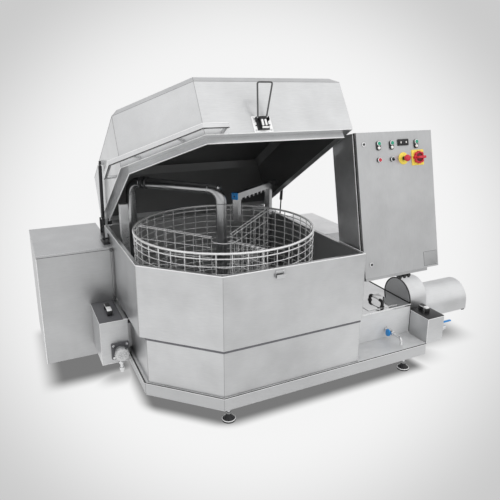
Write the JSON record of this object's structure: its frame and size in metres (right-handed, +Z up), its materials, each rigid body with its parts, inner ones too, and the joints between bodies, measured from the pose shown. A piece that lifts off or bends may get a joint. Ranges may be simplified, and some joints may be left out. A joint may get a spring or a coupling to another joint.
{
  "type": "rotary basket parts washer",
  "caption": "Floor-standing stainless parts washer with a tilting hood, turning wire basket, spray pipes, side tanks, covered pump and a leaning control cabinet.",
  "frame": {"origin": "on the floor, under the middle of the machine's outer box with the hood open", "axes": "+X to the operator's right along the machine's length, +Y from the operator's side to the back, +Z up"},
  "size_m": [2.894, 1.71, 1.9062],
  "materials": {
    "black_plastic": "black plastic",
    "blue_plastic": "blue plastic",
    "cap_metal": "pale cast cap",
    "chrome_metal": "bright plated metal",
    "dark_metal": "black painted metal",
    "green_plastic": "green plastic",
    "grey_iron": "grey painted casting",
    "lid_steel": "fine brushed stainless sheet",
    "pipe_steel": "stainless pipe",
    "red_plastic": "red plastic",
    "sheet_steel": "satin brushed stainless sheet",
    "wire_steel": "polished stainless wire",
    "yellow_plastic": "yellow plastic and plated rings"
  },
  "bodies": {
    "machine": {"base_frame": "sheet_steel", "levelling_feet": "chrome_metal", "lower_tub": "sheet_steel", "tub_floor": "sheet_steel", "upper_tub": "sheet_steel", "sump_tank": "sheet_steel", "sump_deck": "sheet_steel", "extraction_housing": "sheet_steel", "side_tank": "sheet_steel", "side_tank_cover": "sheet_steel", "tie_rod": "chrome_metal", "drain_box": "sheet_steel", "drain_outlet": "chrome_metal", "filter_box": "sheet_steel", "filter_valve": "chrome_metal", "sump_tap": "chrome_metal", "pump_unit": "grey_iron", "pump_hood": "sheet_steel", "motor_hood": "sheet_steel", "gear_motor": "grey_iron", "feed_pipe": "pipe_steel", "side_post": "pipe_steel", "spray_bar": "pipe_steel", "spray_bar_cap": "blue_plastic", "spray_nozzles": "pipe_steel", "latch_keeper": "sheet_steel", "tub_lugs": "sheet_steel", "cabinet_case": "sheet_steel", "cabinet_bracket": "sheet_steel"},
    "basket": {"turntable": "wire_steel", "basket_wall": "wire_steel", "basket_floor": "wire_steel", "basket_dividers": "wire_steel"},
    "lid": {"lid_hood": "lid_steel", "lid_band": "lid_steel", "lid_rail": "lid_steel", "latch_plate": "sheet_steel", "lid_lugs": "sheet_steel"},
    "bail": {"latch_bail": "wire_steel"},
    "left_strut_rod": {"strut_rod_left": "chrome_metal"},
    "left_strut_tube": {"strut_tube_left": "dark_metal"},
    "right_strut_rod": {"strut_rod_right": "chrome_metal"},
    "right_strut_tube": {"strut_tube_right": "dark_metal"},
    "door": {"cabinet_door": "sheet_steel", "control_bezels": "yellow_plastic"},
    "upper_lock": {"door_lock_upper": "chrome_metal"},
    "lower_lock": {"door_lock_lower": "chrome_metal"},
    "left_green": {"green_button_left": "green_plastic"},
    "middle_green": {"green_button_middle": "green_plastic"},
    "right_green": {"green_button_right": "green_plastic"},
    "red": {"red_button": "red_plastic"},
    "selector": {"selector_knob": "black_plastic"},
    "stop": {"stop_button": "red_plastic"},
    "switch": {"main_switch": "red_plastic"},
    "hatch": {"strainer_hatch": "sheet_steel"},
    "drain_lid": {"drain_box_lid": "dark_metal"},
    "filter_lid": {"filter_box_lid": "dark_metal"},
    "cap": {"drain_cap": "cap_metal"},
    "valve_lever": {"filter_valve_lever": "blue_plastic"},
    "tap_lever": {"sump_tap_lever": "blue_plastic"}
  },
  "joints": [
    {"name": "lid_hinge", "type": "hinge", "parent": "machine", "child": "lid", "pos_m": [0, 0.54, 0.864], "axis": [1, 0, 0], "range_deg": [0, 31.3]},
    {"name": "basket_spin", "type": "hinge", "parent": "machine", "child": "basket", "pos_m": [-0.328, -0.19, 0.556], "axis": [0, 0, 1], "continuous": true},
    {"name": "bail_swing", "type": "hinge", "parent": "lid", "child": "bail", "pos_m": [-0.263, -0.59646, 1.69542], "axis": [1, 0, 0], "range_deg": [0, 145]},
    {"name": "left_strut_pivot", "type": "hinge", "parent": "machine", "child": "left_strut_rod", "pos_m": [-1.005, 0.311, 0.846], "axis": [1, 0, 0], "range_deg": [0, 36.75]},
    {"name": "left_strut_slide", "type": "slide", "parent": "left_strut_rod", "child": "left_strut_tube", "axis": [0, -0.0958, 0.9954], "range_m": [-0.1182, 0]},
    {"name": "right_strut_pivot", "type": "hinge", "parent": "machine", "child": "right_strut_rod", "pos_m": [0.349, 0.311, 0.846], "axis": [1, 0, 0], "range_deg": [0, 36.75]},
    {"name": "right_strut_slide", "type": "slide", "parent": "right_strut_rod", "child": "right_strut_tube", "axis": [0, -0.0958, 0.9954], "range_m": [-0.1182, 0]},
    {"name": "door_hinge", "type": "hinge", "parent": "machine", "child": "door", "pos_m": [0.934, -0.80714, 0.72627], "axis": [0, 0.2045, 0.9789], "range_deg": [0, 110]},
    {"name": "upper_lock_turn", "type": "hinge", "parent": "door", "child": "upper_lock", "pos_m": [0.388, -0.65875, 1.52582], "axis": [0, -0.9789, 0.2045], "range_deg": [-90, 0]},
    {"name": "lower_lock_turn", "type": "hinge", "parent": "door", "child": "lower_lock", "pos_m": [0.388, -0.80864, 0.80831], "axis": [0, -0.9789, 0.2045], "range_deg": [-90, 0]},
    {"name": "left_green_press", "type": "slide", "parent": "door", "child": "left_green", "axis": [0, 0.9789, -0.2045], "range_m": [0, 0.004], "stiffness_N_per_m": 400, "springref_m": -0.005},
    {"name": "middle_green_press", "type": "slide", "parent": "door", "child": "middle_green", "axis": [0, 0.9789, -0.2045], "range_m": [0, 0.004], "stiffness_N_per_m": 400, "springref_m": -0.005},
    {"name": "right_green_press", "type": "slide", "parent": "door", "child": "right_green", "axis": [0, 0.9789, -0.2045], "range_m": [0, 0.004], "stiffness_N_per_m": 400, "springref_m": -0.005},
    {"name": "red_press", "type": "slide", "parent": "door", "child": "red", "axis": [0, 0.9789, -0.2045], "range_m": [0, 0.004], "stiffness_N_per_m": 400, "springref_m": -0.005},
    {"name": "stop_press", "type": "slide", "parent": "door", "child": "stop", "axis": [0, 0.9789, -0.2045], "range_m": [0, 0.005], "stiffness_N_per_m": 400, "springref_m": -0.005},
    {"name": "selector_turn", "type": "hinge", "parent": "door", "child": "selector", "pos_m": [0.598, -0.67899, 1.42891], "axis": [0, -0.9789, 0.2045], "range_deg": [-45, 45]},
    {"name": "main_switch_turn", "type": "hinge", "parent": "door", "child": "switch", "pos_m": [0.803, -0.67899, 1.42891], "axis": [0, -0.9789, 0.2045], "range_deg": [-90, 0]},
    {"name": "hatch_lift", "type": "slide", "parent": "machine", "child": "hatch", "axis": [0, 0, 1], "range_m": [0, 0.12]},
    {"name": "drain_lid_lift", "type": "slide", "parent": "machine", "child": "drain_lid", "axis": [0, 0, 1], "range_m": [0, 0.12]},
    {"name": "filter_lid_lift", "type": "slide", "parent": "machine", "child": "filter_lid", "axis": [0, 0, 1], "range_m": [0, 0.12]},
    {"name": "drain_cap_turn", "type": "hinge", "parent": "machine", "child": "cap", "pos_m": [-1.029, -0.197, 0.233], "axis": [0, 1, 0], "range_deg": [0, 90]},
    {"name": "filter_valve_turn", "type": "hinge", "parent": "machine", "child": "valve_lever", "pos_m": [1.089, -0.7355, 0.242], "axis": [0, 0, 1], "range_deg": [-90, 0]},
    {"name": "sump_tap_turn", "type": "hinge", "parent": "machine", "child": "tap_lever", "pos_m": [0.666, -0.694, 0.239], "axis": [1, 0, 0], "range_deg": [0, 90]}
  ],
  "couplings": [
    {"joint": "left_strut_pivot", "follows": "lid_hinge", "ratio": 1.1582},
    {"joint": "left_strut_slide", "follows": "lid_hinge", "m_per_rad": -0.21453},
    {"joint": "right_strut_pivot", "follows": "lid_hinge", "ratio": 1.1582},
    {"joint": "right_strut_slide", "follows": "lid_hinge", "m_per_rad": -0.21453}
  ]
}
